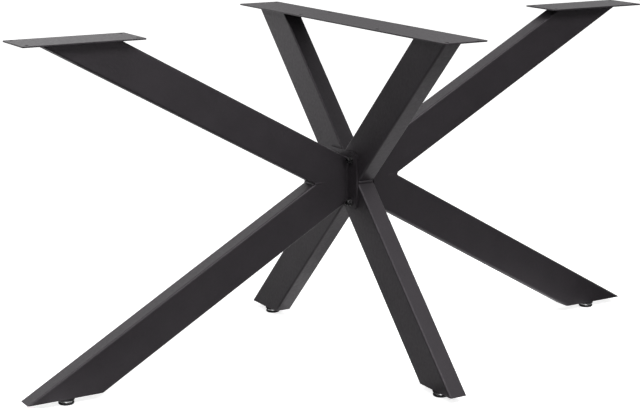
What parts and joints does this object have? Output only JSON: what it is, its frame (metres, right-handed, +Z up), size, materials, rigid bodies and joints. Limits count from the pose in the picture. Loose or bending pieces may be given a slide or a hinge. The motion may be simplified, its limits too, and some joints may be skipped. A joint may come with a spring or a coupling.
{
  "type": "table leg frame",
  "caption": "Spider table base in black rectangular steel tube: a crossed centre frame with a V frame bolted to each face, flat top plates for a table top and screw feet.",
  "frame": {"origin": "on the floor under the middle of the hub", "axes": "+X along the table, +Y across it towards the back, +Z up"},
  "size_m": [1.5036, 0.8056, 0.72],
  "materials": {
    "powder_coat": "matt black powder coat with a fine grain",
    "black_steel": "black oxide, satin",
    "bare_steel": "plain steel",
    "zinc_steel": "bright zinc plating",
    "black_plastic": "moulded black nylon, satin"
  },
  "bodies": {
    "frame": {"back_foot_insert": "black_plastic", "back_leg": "powder_coat", "back_leg_end_plate": "powder_coat", "centre_top_plate": "powder_coat", "front_arm": "powder_coat", "front_foot_insert": "black_plastic", "front_leg_and_back_arm": "powder_coat", "front_leg_end_plate": "powder_coat", "left_flange": "powder_coat", "left_flange_bolts": "black_steel", "left_flange_washers": "black_steel", "left_foot_insert": "black_plastic", "left_leg": "powder_coat", "left_leg_end_plate": "powder_coat", "left_top_plate": "powder_coat", "left_upper_arm": "powder_coat", "left_weld_nuts": "bare_steel", "right_flange": "powder_coat", "right_flange_bolts": "black_steel", "right_flange_washers": "black_steel", "right_foot_insert": "black_plastic", "right_leg": "powder_coat", "right_leg_end_plate": "powder_coat", "right_top_plate": "powder_coat", "right_upper_arm": "powder_coat", "right_weld_nuts": "bare_steel"},
    "left_foot": {"left_foot_screw": "zinc_steel", "left_foot_base": "black_plastic"},
    "right_foot": {"right_foot_screw": "zinc_steel", "right_foot_base": "black_plastic"},
    "front_foot": {"front_foot_screw": "zinc_steel", "front_foot_base": "black_plastic"},
    "back_foot": {"back_foot_screw": "zinc_steel", "back_foot_base": "black_plastic"}
  },
  "joints": [
    {"name": "left_foot_screw_out", "type": "slide", "parent": "frame", "child": "left_foot", "axis": [0, 0, -1], "range_m": [0, 0.012]},
    {"name": "right_foot_screw_out", "type": "slide", "parent": "frame", "child": "right_foot", "axis": [0, 0, -1], "range_m": [0, 0.012]},
    {"name": "front_foot_screw_out", "type": "slide", "parent": "frame", "child": "front_foot", "axis": [0, 0, -1], "range_m": [0, 0.012]},
    {"name": "back_foot_screw_out", "type": "slide", "parent": "frame", "child": "back_foot", "axis": [0, 0, -1], "range_m": [0, 0.012]}
  ]
}
